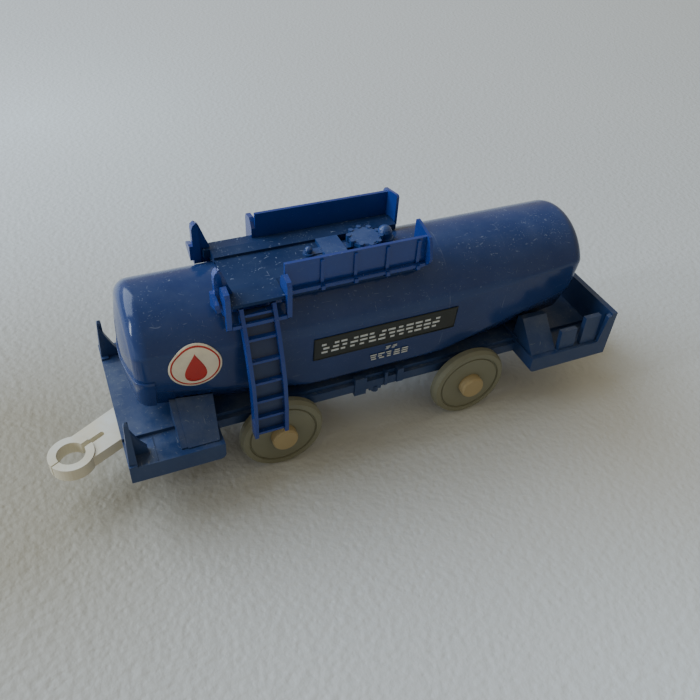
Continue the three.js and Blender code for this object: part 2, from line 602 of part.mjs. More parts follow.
// A pan-head screw that points up: headBottom is the lowest point of its head.
function screw(x, headBottom, headRadius, tipZ) {
  const head = cylinderZ(headRadius, x, 0, headBottom, headBottom + 1.1);
  const shank = cylinderZ(SCREW_SHANK_RADIUS, x, 0, headBottom + 1, tipZ, 16);
  const recess = join(
    box(x - 1.3, x + 1.3, -0.3, 0.3, headBottom - 1, headBottom + 0.6),
    box(x - 0.3, x + 0.3, -1.3, 1.3, headBottom - 1, headBottom + 0.6),
  );
  return cut(join(head, shank), recess);
}

add("ring_end_body_screw", screw(BODY_SCREW_X[0], 12.4, 2.2, 23), screwSteel);
add("hook_end_body_screw", screw(BODY_SCREW_X[1], 12.4, 2.2, 23), screwSteel);

const COUPLER_BOTTOM_Z = COUPLER_TOP_Z - COUPLER_THICKNESS;
add("ring_coupler_screw", screw(RING_PIVOT_X, COUPLER_BOTTOM_Z - 1.2, 2.6, 15.6), screwSteel);
add("hook_coupler_screw", screw(HOOK_PIVOT_X, COUPLER_BOTTOM_Z - 1.2, 2.6, 15.6), screwSteel);

// ---------------------------------------------------------------- couplers

const EYE_RADIUS = 4.3;
const EYE_THICKNESS = 1.7;
const RING_STEP = 0.35;
const EYE_HOLE_RADIUS = 1.3;

// Both couplers are drawn pointing along +X from their pivot.
// Its clasp is a ring that stands a little proud of the arm. A slot and a slit let it spring.
function ringCoupler() {
  const eye = cylinderZ(EYE_RADIUS, 0, 0, -EYE_THICKNESS, 0, 32);
  const arm = prism(outline([[0, -EYE_RADIUS], [RING_REACH, -3.9], [RING_REACH, 3.9], [0, EYE_RADIUS]]),
    "z", -EYE_THICKNESS, 0);
  const thickArm = prism(outline([[4.8, -4.17], [RING_REACH, -3.9], [RING_REACH, 3.9], [4.8, 4.17]]),
    "z", -COUPLER_THICKNESS, -0.1);
  const ring = cylinderZ(RING_RADIUS, RING_REACH, 0, -COUPLER_THICKNESS, RING_STEP, 40);
  const pivotHole = cylinderZ(EYE_HOLE_RADIUS, 0, 0, -5, 5, 24);
  const ringHole = cylinderZ(2.9, RING_REACH, 0, -5, 5, 32);
  const slot = box(RING_REACH - 7.4, RING_REACH, -0.6, 0.6, -5, 5);
  const slotEnd = cylinderZ(0.6, RING_REACH - 7.4, 0, -5, 5, 16);
  const slit = box(RING_REACH + 2, RING_REACH + RING_RADIUS + 1, -0.16, 0.16, -5, 5);
  return cut(join(eye, ring, arm, thickArm), pivotHole, ringHole, slot, slotEnd, slit);
}

function hookCoupler() {
  const reach = HOOK_TIP_X - HOOK_PIVOT_X;
  const tipRadius = 3.2;
  const bottom = -EYE_THICKNESS;
  const eye = cylinderZ(EYE_RADIUS, 0, 0, bottom, 0, 32);
  const tip = cylinderZ(tipRadius, reach - tipRadius, 0, bottom, 0, 32);
  const arm = prism(outline([
    [0, -EYE_RADIUS], [reach - tipRadius, -tipRadius], [reach - tipRadius, tipRadius], [0, EYE_RADIUS],
  ]), "z", bottom, 0);
  const peg = cylinderZ(1.7, reach - tipRadius, 0, -0.2, 2.6, 24);
  const pegLip = box(reach - tipRadius - 0.2, reach - 0.6, -1.2, 1.2, 1.6, 2.6);
  const pivotHole = cylinderZ(EYE_HOLE_RADIUS, 0, 0, -5, 5, 24);
  return cut(join(eye, tip, arm, peg, pegLip), pivotHole);
}

const ringPivot = new THREE.Group();
ringPivot.position.set(RING_PIVOT_X, 0, COUPLER_TOP_Z);
ringPivot.rotation.z = Math.PI + RING_SWING_AT_REST;
wagon.add(ringPivot);
add("ring_coupler", ringCoupler(), couplerWhite, ringPivot);

const hookPivot = new THREE.Group();
hookPivot.position.set(HOOK_PIVOT_X, 0, COUPLER_TOP_Z);
wagon.add(hookPivot);
add("hook_coupler", hookCoupler(), couplerWhite, hookPivot);

// ---------------------------------------------------------------- wheelsets

// A one-piece axle: a thin shaft in the bearings and a thicker seat with a hub face at each end.
function axle(x) {
  const seatStart = 12;
  const half = [[0, HUB_OUTER_Y], [HUB_RADIUS - 0.3, HUB_OUTER_Y], [HUB_RADIUS, HUB_OUTER_Y - 0.4],
    [HUB_RADIUS, seatStart], [SHAFT_RADIUS, seatStart]];
  const otherHalf = half.map(([r, y]) => [r, -y]);
  return turnedAboutY([...otherHalf, ...half.reverse()], x, WHEEL_RADIUS, 32);
}

// A disc wheel with a raised rim and a dished face, pushed onto the axle's seat.
function wheel(x, side) {
  const inner = WHEEL_OUTER_Y - WHEEL_WIDTH;
  const bore = HUB_RADIUS + 0.05;
  const profile = [
    [bore, inner], [WHEEL_RADIUS - 0.3, inner], [WHEEL_RADIUS, inner + 0.3], [WHEEL_RADIUS, inner + 1.5],
    [WHEEL_RADIUS - 0.5, WHEEL_OUTER_Y], [7.75, WHEEL_OUTER_Y], [7.6, WHEEL_OUTER_Y - 0.4],
    [7.35, WHEEL_OUTER_Y - 0.4], [7.2, WHEEL_OUTER_Y - 0.1], [bore, WHEEL_OUTER_Y - 0.1], [bore, inner],
  ];
  const solid = turnedAboutY(profile, x, WHEEL_RADIUS);
  return side > 0 ? solid : solid.mirror([0, 1, 0]);
}

for (const [end, x] of [["ring_end", -WHEELBASE / 2], ["hook_end", WHEELBASE / 2]]) {
  add(`${end}_axle`, axle(x), axleBeige);
  for (const [name, side] of Object.entries(SIDES)) {
    add(`${end}_${name}_wheel`, wheel(x, side), wheelGrey);
  }
}

export default wagon;
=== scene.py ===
"""Looks of the toy railway tank wagon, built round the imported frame. Metres, same frame as the CAD."""
import json
import math
import random

import bmesh
import bpy
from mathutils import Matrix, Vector


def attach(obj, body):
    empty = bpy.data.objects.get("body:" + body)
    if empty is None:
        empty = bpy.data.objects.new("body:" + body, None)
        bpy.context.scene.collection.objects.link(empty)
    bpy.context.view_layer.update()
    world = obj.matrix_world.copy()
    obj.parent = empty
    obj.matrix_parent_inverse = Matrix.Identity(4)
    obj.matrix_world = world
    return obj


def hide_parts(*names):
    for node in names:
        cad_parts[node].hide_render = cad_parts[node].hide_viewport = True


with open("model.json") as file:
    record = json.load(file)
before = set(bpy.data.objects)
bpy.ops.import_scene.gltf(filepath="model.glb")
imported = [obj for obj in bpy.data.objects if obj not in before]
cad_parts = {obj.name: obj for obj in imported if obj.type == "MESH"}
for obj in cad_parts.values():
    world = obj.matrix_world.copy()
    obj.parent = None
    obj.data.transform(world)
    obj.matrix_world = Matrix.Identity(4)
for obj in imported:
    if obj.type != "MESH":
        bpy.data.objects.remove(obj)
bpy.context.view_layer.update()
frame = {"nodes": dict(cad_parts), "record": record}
MM = 0.001
NEAR, FAR = -1, 1  # the sign of y on each side


def mix(a, b, share):
    """The value at a share of the way from a to b."""
    return a + (b - a) * share


# Materials. Noise scales are in features per metre, and sizes are in metres.

SPOT_GAIN = 1.6
WALL_DUST_AND_PAINTED_LIGHT = 0.25
HAIRLINE_STRETCHES = ((1.0, 2.6, 1.4), (0.5, 1.3, 1.6), (1.6, 0.6, 0.8), (0.8, 0.7, 2.4))
HAIRLINE_SHARE = 0.7
RUB_WANDER = 0.0015
RUB_OUTER, RUB_CORE = 0.00016, 0.00004
RUB_STRENGTH = 0.14
DIRT_ROUGHNESS = 0.6


class Nodes:
    """A short way to build one material's nodes."""

    def __init__(self, name):
        self.material = bpy.data.materials.new(name)
        self.material.use_nodes = True
        self.tree = self.material.node_tree
        self.tree.nodes.clear()
        output = self.tree.nodes.new("ShaderNodeOutputMaterial")
        self.shader = self.tree.nodes.new("ShaderNodeBsdfPrincipled")
        self.link(self.shader.outputs["BSDF"], output.inputs["Surface"])
        self.place = self.tree.nodes.new("ShaderNodeTexCoord").outputs["Object"]

    def link(self, result, socket):
        self.tree.links.new(result, socket)

    def put(self, socket, value):
        """Links another node's result to a socket, or sets a plain value on it."""
        if isinstance(value, bpy.types.NodeSocket):
            self.link(value, socket)
        else:
            socket.default_value = value

    def set_shader(self, socket_name, value):
        self.put(self.shader.inputs[socket_name], value)

    def stretched(self, scale):
        """The place on the object, with its own scale along each axis."""
        node = self.tree.nodes.new("ShaderNodeMapping")
        node.inputs["Scale"].default_value = scale
        self.link(self.place, node.inputs["Vector"])
        return node.outputs["Vector"]

    def component(self, vector, axis):
        node = self.tree.nodes.new("ShaderNodeSeparateXYZ")
        self.link(vector, node.inputs[0])
        return node.outputs[axis]

    def noise(self, scale, detail=4.0, roughness=0.5, vector=None):
        node = self.tree.nodes.new("ShaderNodeTexNoise")
        node.inputs["Scale"].default_value = scale
        node.inputs["Detail"].default_value = detail
        node.inputs["Roughness"].default_value = roughness
        self.link(vector or self.place, node.inputs["Vector"])
        return node.outputs["Fac"]

    def voronoi(self, scale, feature="F1"):
        node = self.tree.nodes.new("ShaderNodeTexVoronoi")
        node.feature = feature
        node.inputs["Scale"].default_value = scale
        self.link(self.place, node.inputs["Vector"])
        return node.outputs["Distance"]

    def math(self, operation, a, b=0.0, clamp=False):
        node = self.tree.nodes.new("ShaderNodeMath")
        node.operation = operation
        node.use_clamp = clamp
        self.put(node.inputs[0], a)
        self.put(node.inputs[1], b)
        return node.outputs[0]

    def times(self, a, b):
        return self.math("MULTIPLY", a, b)

    def away_from(self, value, other):
        """How far a value is from another one."""
        return self.math("ABSOLUTE", self.math("SUBTRACT", value, other))

    def remap(self, value, low, high, to_low=0.0, to_high=1.0):
        node = self.tree.nodes.new("ShaderNodeMapRange")
        self.put(node.inputs["Value"], value)
        for key, number in (("From Min", low), ("From Max", high), ("To Min", to_low), ("To Max", to_high)):
            node.inputs[key].default_value = number
        return node.outputs["Result"]

    def spot(self, place, radius, strength):
        """A soft round spot, strongest at its middle."""
        node = self.tree.nodes.new("ShaderNodeVectorMath")
        node.operation = "DISTANCE"
        self.link(self.place, node.inputs[0])
        node.inputs[1].default_value = place
        near = self.remap(node.outputs["Value"], radius, 0.0)
        return self.math("MULTIPLY", self.times(near, near), strength * SPOT_GAIN, clamp=True)

    def mix(self, factor, a, b):
        node = self.tree.nodes.new("ShaderNodeMix")
        node.data_type = "RGBA"
        self.put(node.inputs["Factor"], factor)
        self.put(node.inputs["A"], a)
        self.put(node.inputs["B"], b)
        return node.outputs["Result"]

    def bump(self, height, strength, distance, before=None):
        node = self.tree.nodes.new("ShaderNodeBump")
        node.inputs["Strength"].default_value = strength
        node.inputs["Distance"].default_value = distance
        self.link(height, node.inputs["Height"])
        if before is not None:
            self.link(before, node.inputs["Normal"])
        return node.outputs["Normal"]


def srgb(red, green, blue):
    """A linear colour from ordinary 0-255 values."""
    def linear(value):
        value /= 255.0
        return value / 12.92 if value <= 0.04045 else ((value + 0.055) / 1.055) ** 2.4
    return (linear(red), linear(green), linear(blue), 1.0)


def upward(n):
    """Full dirt on what faces up, and less of it on walls and undersides; the same mask places the
    coupler's painted highlight and part of the underframe's painted reflection.
    """
    normal = n.tree.nodes.new("ShaderNodeNewGeometry").outputs["Normal"]
    return n.remap(n.component(normal, "Z"), 0.1, 1.0, WALL_DUST_AND_PAINTED_LIGHT, 1.0)


def hairlines(n, stretch):
    """Thin curved lines, broken into short lengths."""
    vector = n.stretched(stretch)
    curve = n.away_from(n.noise(260.0, 1.0, 0.4, vector), 0.5)
    broken = n.remap(n.noise(950.0, 2.0, 0.5, vector), 0.6, 0.68)
    return n.times(n.remap(curve, 0.01, 0.002), broken)


def rub_mark(n, x):
    """A faint broken line that runs round the object near x."""
    wander = n.remap(n.noise(70.0, 2.0), 0.0, 1.0, x - RUB_WANDER, x + RUB_WANDER)
    off = n.away_from(n.component(n.place, "X"), wander)
    return n.times(n.remap(off, RUB_OUTER, RUB_CORE), n.remap(n.noise(300.0, 3.0), 0.5, 0.65))


def worn_plastic(name, colour, roughness, dust_and_painted_light, scratches, dust_and_painted_light_colour=(150, 165, 190), specular=0.4,
                 rub_marks=()):
    """Moulded plastic with slow tone changes, a thin film of dust, specks and hairline scratches; the film
    is also a painted highlight on the coupler's tops and a painted floor reflection on the underframe.
    """
    n = Nodes(name)
    lighter = [min(255, c * 1.18 + 4) for c in colour]
    tone = n.mix(n.remap(n.noise(60.0, 3.0), 0.3, 0.7, 0.0, 0.5), srgb(*colour), srgb(*lighter))
    up = upward(n)
    patches = n.remap(n.noise(150.0, 6.0, 0.65), 0.4, 0.75)
    film = n.times(n.times(up, patches), dust_and_painted_light)
    dots = n.remap(n.voronoi(1900.0), 0.2, 0.1)
    specks = n.times(n.times(dots, n.remap(n.noise(130.0, 4.0, 0.7), 0.5, 0.65)), up)
    dirt_and_painted_light = n.math("ADD", film, n.times(specks, scratches))
    for stretch in HAIRLINE_STRETCHES:
        lines = n.times(hairlines(n, stretch), up)
        dirt_and_painted_light = n.math("ADD", dirt_and_painted_light, n.times(lines, scratches * HAIRLINE_SHARE), clamp=True)
    for x in rub_marks:
        dirt_and_painted_light = n.math("ADD", dirt_and_painted_light, n.times(rub_mark(n, x), RUB_STRENGTH), clamp=True)
    uneven = n.remap(n.noise(120.0, 5.0), 0.3, 0.7, roughness - 0.05, roughness + 0.08)
    fine = n.bump(n.noise(1500.0, 3.0), 0.02, 0.0002)
    n.set_shader("Base Color", n.mix(dirt_and_painted_light, tone, srgb(*dust_and_painted_light_colour)))
    n.set_shader("Roughness", n.math("ADD", uneven, n.times(dirt_and_painted_light, DIRT_ROUGHNESS), clamp=True))
    n.set_shader("Specular IOR Level", specular)
    n.set_shader("Normal", n.bump(n.noise(45.0, 2.0), 0.1, 0.0004, fine))
    return n.material


def printed(name, colour, roughness):
    """A printed label's ink or film: slight mottling, a few scuffs."""
    n = Nodes(name)
    darker = [c * 0.88 for c in colour]
    mottling = n.remap(n.noise(400.0, 4.0), 0.35, 0.7, 0.0, 0.5)
    n.set_shader("Base Color", n.mix(mottling, srgb(*colour), srgb(*darker)))
    n.set_shader("Roughness", n.remap(n.noise(300.0, 4.0), 0.3, 0.7, roughness - 0.08, roughness + 0.12))
    n.set_shader("Normal", n.bump(n.noise(900.0, 3.0), 0.05, 0.0001))
    return n.material


def steel(name):
    """Plain zinc-plated steel, slightly uneven."""
    n = Nodes(name)
    n.set_shader("Metallic", 1.0)
    n.set_shader("Base Color", n.mix(n.noise(500.0, 4.0), srgb(150, 148, 140), srgb(196, 194, 188)))
    n.set_shader("Roughness", n.remap(n.noise(900.0, 5.0), 0.3, 0.7, 0.28, 0.5))
    return n.material


PLASTICS = {
    "tank_blue": dict(colour=(32, 53, 102), roughness=0.13, dust_and_painted_light=0.06, scratches=0.45, specular=0.34,
                      dust_and_painted_light_colour=(166, 180, 200), rub_marks=(0.0155, 0.0305)),
    "walkway_blue": dict(colour=(24, 52, 126), roughness=0.2, dust_and_painted_light=0.06, scratches=0.35, specular=0.5),
    "deck_blue": dict(colour=(23, 44, 84), roughness=0.45, dust_and_painted_light=0.05, scratches=0.9, specular=0.12),
    "fittings_blue": dict(colour=(34, 62, 116), roughness=0.26, dust_and_painted_light=0.14, scratches=0.6, specular=0.5),
    "ladder_back_blue": dict(colour=(34, 50, 88), roughness=0.4, dust_and_painted_light=0.14, scratches=0.2,
                             dust_and_painted_light_colour=(140, 140, 130)),
    # The underframe's grey film is dust, and also a painted reflection of the pale floor that greys the
    # saddles.
    "underframe_blue": dict(colour=(34, 56, 98), roughness=0.36, dust_and_painted_light=0.26, scratches=0.6,
                            dust_and_painted_light_colour=(142, 148, 150)),
    "wheel_grey": dict(colour=(112, 113, 98), roughness=0.5, dust_and_painted_light=0.2, scratches=0.2,
                       dust_and_painted_light_colour=(80, 76, 62)),
    "axle_beige": dict(colour=(150, 134, 100), roughness=0.55, dust_and_painted_light=0.3, scratches=0.1,
                       dust_and_painted_light_colour=(110, 96, 72)),
    # The coupler's near-white film on its up-facing faces is a painted highlight, and its yellowish base
    # colour, left bare on the sides, is painted shade.
    "coupler_white": dict(colour=(206, 199, 178), roughness=0.4, dust_and_painted_light=1.0, scratches=0.1,
                          dust_and_painted_light_colour=(226, 228, 224)),
}
PRINTS = {
    "label_cream": ((232, 222, 200), 0.35),
    "label_red": ((190, 44, 34), 0.35),
    "label_black": ((26, 32, 30), 0.34),
    "label_white": ((206, 212, 216), 0.45),
}
MATERIALS = {name: worn_plastic(name, **values) for name, values in PLASTICS.items()}
MATERIALS.update({name: printed(name, *values) for name, values in PRINTS.items()})
MATERIALS["screw_steel"] = steel("screw_steel")


# Mesh helpers. Shapes are built in millimetres.

BEVEL_SEGMENTS = 2
BEVEL_ANGLE = 35.0
SHADING_WEIGHT = 80


def smooth(mesh):
    mesh.polygons.foreach_set("use_smooth", [True] * len(mesh.polygons))


def soften(obj, bevel):
    """Rounded edges and even shading."""
    if bevel:
        edges = obj.modifiers.new("edges", "BEVEL")
        edges.width = bevel * MM
        edges.segments = BEVEL_SEGMENTS
        edges.limit_method = "ANGLE"
        edges.angle_limit = math.radians(BEVEL_ANGLE)
        edges.use_clamp_overlap = True
        edges.harden_normals = False
    shading = obj.modifiers.new("shading", "WEIGHTED_NORMAL")
    shading.keep_sharp = True
    shading.weight = SHADING_WEIGHT


def piece(name, bm, body, slot, node, materials=None, bevel=0.0):
    """Turns a bmesh in millimetres into a finished piece of the object."""
    bmesh.ops.scale(bm, vec=(MM, MM, MM), verts=bm.verts)
    bmesh.ops.recalc_face_normals(bm, faces=bm.faces)
    mesh = bpy.data.meshes.new(name)
    bm.to_mesh(mesh)
    bm.free()
    for material in materials or [MATERIALS[slot]]:
        mesh.materials.append(material)
    smooth(mesh)
    obj = bpy.data.objects.new(name, mesh)
    bpy.context.scene.collection.objects.link(obj)
    soften(obj, bevel)
    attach(obj, body)
    if node:
        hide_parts(node)


def join_loops(bm, loops):
    """Joins rings of points into a skin and closes both ends."""
    rings = [[bm.verts.new(point) for point in loop] for loop in loops]
    count = len(rings[0])
    for a, b in zip(rings, rings[1:]):
        for i in range(count):
            j = (i + 1) % count
            bm.faces.new((a[i], a[j], b[j], b[i]))
    bm.faces.new(rings[0])
    bm.faces.new(list(reversed(rings[-1])))


def cut(bm, place, direction, clear=False):
    """Cuts all faces along a plane, and can clear what lies beyond it. Returns what the cut made."""
    everything = bm.verts[:] + bm.edges[:] + bm.faces[:]
    made = bmesh.ops.bisect_plane(bm, geom=everything, plane_co=place, plane_no=direction,
                                  clear_outer=clear)
    return made["geom_cut"]


# The tank. The crease, knee and foot have one value for the tank's middle and one for its ends.

TANK_RADIUS = 12.5
TANK_AXIS_Z = 31.65
TANK_HALF_LENGTH = 52.3
TANK_EDGE = 3.2
TANK_DOME = 1.2
BELLY_HALF_LENGTH = 16.0
TAPER_END_X = 48.0
SECTION_CENTRE_Z = 31.0
CREASE_Z = (33.4, 36.2)
KNEE_Y, KNEE_Z = (11.5, 10.6), (19.0, 28.0)
FOOT_Y, FOOT_Z = (9.7, 7.8), (17.3, 20.8)
CREASE_CUT, KNEE_CUT = 0.5, 0.8
CROWN_STEPS, CORNER_STEPS, EDGE_STEPS = 22, 4, 9
CAP_SHARES = (0.03, 0.25, 0.5, 0.75, 0.92)
BARREL_STATIONS = (44.0, 40.0, 36.0, 32.0, 28.0, 24.0, 20.0, 17.0, 14.0, 10.0, 5.0)
LIP = 0.35
LIP_BEVEL = 0.15
LIP_EDGE_X = -47.6
LIP_TOP_Z = 29.4


def rounded_corner(before, corner, after, cut_length):
    """Points of a short curve in place of a sharp corner."""
    before, corner, after = Vector(before), Vector(corner), Vector(after)
    start = corner + (before - corner).normalized() * cut_length
    end = corner + (after - corner).normalized() * cut_length
    shares = [i / CORNER_STEPS for i in range(CORNER_STEPS + 1)]
    return [tuple(start.lerp(corner, share).lerp(corner.lerp(end, share), share)) for share in shares]


def half_section(x):
    """Half of the tank's cross-section at x, from the crown to the bottom edge."""
    taper = min(max((abs(x) - BELLY_HALF_LENGTH) / (TAPER_END_X - BELLY_HALF_LENGTH), 0.0), 1.0)
    crease_z = mix(*CREASE_Z, taper)
    crease_angle = math.asin((crease_z - TANK_AXIS_Z) / TANK_RADIUS)
    crown = []
    for i in range(CROWN_STEPS):
        angle = mix(math.pi / 2, crease_angle, i / CROWN_STEPS)
        crown.append((TANK_RADIUS * math.cos(angle), TANK_AXIS_Z + TANK_RADIUS * math.sin(angle)))
    crease = (TANK_RADIUS * math.cos(crease_angle), crease_z)
    knee = (mix(*KNEE_Y, taper), mix(*KNEE_Z, taper))
    foot = (mix(*FOOT_Y, taper), mix(*FOOT_Z, taper))
    upper = rounded_corner(crown[-1], crease, knee, CREASE_CUT)
    lower = rounded_corner(crease, knee, foot, KNEE_CUT)
    return crown[:-1] + upper + lower + [foot]


def section(x, shrink):
    """The whole cross-section at x, shrunk towards its centre."""
    half = [(y * shrink, SECTION_CENTRE_Z + (z - SECTION_CENTRE_Z) * shrink) for y, z in half_section(x)]
    return [(x, y, z) for y, z in reversed(half)] + [(x, -y, z) for y, z in half[1:]]


def tank_loops(lift):
    """Rings from the hook end to the ring end, with slightly domed caps and rounded edges."""
    radius = TANK_RADIUS + lift
    half_length = TANK_HALF_LENGTH - TANK_DOME + lift
    cap = []
    for share in CAP_SHARES:
        cap.append((half_length + TANK_DOME * (1 - share * share), share * (radius - TANK_EDGE)))
    for i in range(EDGE_STEPS + 1):
        angle = math.pi / 2 * (1 - i / EDGE_STEPS)
        x = half_length - TANK_EDGE * (1 - math.sin(angle))
        cap.append((x, radius - TANK_EDGE * (1 - math.cos(angle))))
    half = cap + [(x, radius) for x in BARREL_STATIONS]
    stations = half + [(0.0, radius)] + [(-x, size) for x, size in reversed(half)]
    return [section(x, size / TANK_RADIUS) for x, size in stations]


def tank_side_y(x, z):
    """Half-width of the tank's outside at station x and height z."""
    points = half_section(x)
    for (y0, z0), (y1, z1) in zip(points, points[1:]):
        if z1 <= z <= z0:
            return mix(y0, y1, (z0 - z) / (z0 - z1) if z0 != z1 else 0.0)
    return points[-1][0]


def tank_body(lift):
    """The tank's outside, moved out by a lift."""
    bm = bmesh.new()
    join_loops(bm, tank_loops(lift))
    return bm


def clear_beyond(bm, place, direction):
    """Cuts off what lies beyond a plane and closes the cut."""
    made = cut(bm, place, direction, clear=True)
    bmesh.ops.holes_fill(bm, edges=[item for item in made if isinstance(item, bmesh.types.BMEdge)])


def build_tank():
    piece("tank_shell_skin", tank_body(0.0), "wagon", "tank_blue", "tank_shell")
    lip = tank_body(LIP)
    clear_beyond(lip, (LIP_EDGE_X, 0.0, 0.0), (1.0, 0.0, 0.0))
    clear_beyond(lip, (0.0, 0.0, LIP_TOP_Z), (0.0, 0.0, 1.0))
    piece("tank_front_lip", lip, "wagon", "tank_blue", None, bevel=LIP_BEVEL)


# The labels. A layer is how far its outside is from the tank's side, its thickness, and the number of its
# material in the piece.

FILM = (0.2, 0.12, 0)
PRINT = (0.23, 0.06, 1)
GRID = 0.6
EMBLEM_PLACE = (-39.7, 31.9)
EMBLEM_RADII = (5.2, 5.5)
DISC_COUNT, RING_COUNT, DROP_COUNT = 48, 64, 40
RING_OUTER, RING_INNER = 0.93, 0.87
DROP_SHARE = 0.6
DROP_POINT = 1.6
DROP_HEIGHT = 1.25
DROP_SINK = 0.1
STRIP = (-15.6, 17.8, 26.1, 32.1)
STRIP_MARGIN = 1.7
BAR_STROKE = 0.2
BAR_SHARES = (0.0, 0.4, 0.8)
BAR_WIDTHS = (0.6, 0.8, 1.0)
BAR_STARTS = (0.0, 0.5, 1.0)
BAR_GROUP = 0.8
ROW_SLACK = 0.1
# Each row of bars: start, end, bottom, top and pitch.
BAR_ROWS = (
    (STRIP[0] + STRIP_MARGIN, STRIP[1] - STRIP_MARGIN, 27.75, 30.45, 2.15),
    (-2.3, 7.2, 21.9, 23.5, 1.9),
    (1.2, 4.2, 24.3, 25.2, 1.5),
)


def cut_along(bm, axis, low, high):
    """Cuts a flat outline at even steps, so that it can follow a curved side."""
    normal = Vector((0.0, 0.0, 0.0))
    normal[axis] = 1.0
    at = low + GRID
    while at < high:
        cut(bm, normal * at, normal)
        at += GRID


def order_faces(bm):
    """Puts the faces in the order of their corners, which is the same in each run."""
    bm.verts.index_update()
    ordered = sorted(bm.faces, key=lambda face: sorted(vert.index for vert in face.verts))
    for number, face in enumerate(ordered):
        face.index = number
    bm.faces.sort()


def patch(bm, outline, side, layer):
    """A thin closed film over the tank's side, from an outline of (x, z) points."""
    lift, thickness, material = layer
    new = bmesh.new()
    new.faces.new([new.verts.new((x, 0.0, z)) for x, z in outline])
    xs, zs = zip(*outline)
    cut_along(new, 0, min(xs), max(xs))
    cut_along(new, 2, min(zs), max(zs))
    for vert in new.verts:
        x, _, z = vert.co
        vert.co.y = side * (tank_side_y(x, z) + lift)
    made = bmesh.ops.extrude_face_region(new, geom=new.faces[:])
    for item in made["geom"]:
        if isinstance(item, bmesh.types.BMVert):
            item.co.y -= side * thickness
    order_faces(new)
    for face in new.faces:
        face.material_index = material
    mesh = bpy.data.meshes.new("film")
    new.to_mesh(mesh)
    new.free()
    bm.from_mesh(mesh)
    bpy.data.meshes.remove(mesh)


def oval(share, count):
    """Points of an oval round the emblem's middle, at a share of its radii."""
    x, z = EMBLEM_PLACE
    angles = [2 * math.pi * i / count for i in range(count)]
    radius, height = (size * share for size in EMBLEM_RADII)
    return [(x + radius * math.cos(angle), z + height * math.sin(angle)) for angle in angles]


def drop(x, z, size):
    """A plain droplet with its point up, standing for what a tank wagon carries."""
    points = []
    for i in range(DROP_COUNT):
        angle = 2 * math.pi * i / DROP_COUNT
        narrow = math.sin(angle / 2) ** DROP_POINT
        height = size * DROP_HEIGHT * math.cos(angle)
        points.append((x + size * math.sin(angle) * narrow, z + height - DROP_SINK * size))
    return points


def emblem(name, side):
    """A cream disc with a thin red ring and a red droplet."""
    bm = bmesh.new()
    patch(bm, oval(1.0, DISC_COUNT), side, FILM)
    outer, inner = oval(RING_OUTER, RING_COUNT), oval(RING_INNER, RING_COUNT)
    for i in range(RING_COUNT):
        j = (i + 1) % RING_COUNT
        patch(bm, [outer[i], outer[j], inner[j], inner[i]], side, PRINT)
    patch(bm, drop(*EMBLEM_PLACE, EMBLEM_RADII[0] * DROP_SHARE), side, PRINT)
    piece(f"{name}_emblem_film", bm, "wagon", "label_cream", f"{name}_emblem_label",
          [MATERIALS["label_cream"], MATERIALS["label_red"]])


def bar(x0, x1, z0, z1):
    return [(x0, z0), (x1, z0), (x1, z1), (x0, z1)]


def stacked_bars(bm, side, x, z, width, height, pick):
    """Three short bars: they stand in for one sign of print and say nothing."""
    for share in BAR_SHARES:
        wide = width * pick.choice(BAR_WIDTHS)
        start = x + (width - wide) * pick.choice(BAR_STARTS)
        low = z + share * height
        patch(bm, bar(start, start + wide, low, low + BAR_STROKE * height), side, PRINT)


def name_strip(name, side):
    """A black strip with rows of white bars, on the strip and below it."""
    bm = bmesh.new()
    patch(bm, bar(*STRIP), side, FILM)
    pick = random.Random(7)
    for start, end, low, high, pitch in BAR_ROWS:
        at = start
        while at + pitch < end + ROW_SLACK:
            stacked_bars(bm, side, at, low, pitch * BAR_GROUP, high - low, pick)
            at += pitch
    piece(f"{name}_name_film", bm, "wagon", "label_black", f"{name}_name_strip",
          [MATERIALS["label_black"], MATERIALS["label_white"]])


# The CAD nodes that stay, with the width of their bevels in millimetres.

KEPT = {
    "walkway_deck": 0.12, "crown_fittings": 0.16, "underframe": 0.15,
    "near_rail": 0.25, "far_rail": 0.25, "near_ladder": 0.12, "far_ladder": 0.12,
    "ring_coupler": 0.2, "hook_coupler": 0.2,
    "ring_end_body_screw": 0.1, "hook_end_body_screw": 0.1,
    "ring_coupler_screw": 0.1, "hook_coupler_screw": 0.1,
    "ring_end_axle": 0.15, "hook_end_axle": 0.15,
    "ring_end_near_wheel": 0.12, "ring_end_far_wheel": 0.12,
    "hook_end_near_wheel": 0.12, "hook_end_far_wheel": 0.12,
}
SLOTS = {entry["node"]: entry["material_slot"] for entry in frame["record"]["subparts"]}
OWN_MATERIAL = {"walkway_deck": "deck_blue", "crown_fittings": "fittings_blue"}
FLAT_ANGLE = 1.0
LADDER_X = -27.0
# The rungs' front, from the top down, as (y, z) points.
LADDER_FRONT = ((12.0, 44.0), (15.1, 37.5), (16.9, 32.8), (18.3, 28.2), (19.0, 22.0), (19.0, 15.0))
LADDER_BACK_DEPTH = (1.3, 1.7)
LADDER_BACK_HALF_WIDTH = 3.2


def is_ladder_back(face):
    """Says whether a face belongs to the plate behind the rungs."""
    x, y, z = [value / MM for value in face.center]
    for (y0, z0), (y1, z1) in zip(LADDER_FRONT, LADDER_FRONT[1:]):
        if z1 <= z <= z0:
            depth = mix(y0, y1, (z0 - z) / (z0 - z1)) - abs(y)
            shallow, deep = LADDER_BACK_DEPTH
            return shallow < depth < deep and abs(x - LADDER_X) < LADDER_BACK_HALF_WIDTH
    return False


def colour_ladder_back(node):
    """Gives the plate behind the rungs, recessed between the stiles, a darker and greyer blue than the rest
    of the ladder.
    """
    node.data.materials.append(MATERIALS["ladder_back_blue"])
    for face in node.data.polygons:
        if is_ladder_back(face):
            face.material_index = len(node.data.materials) - 1


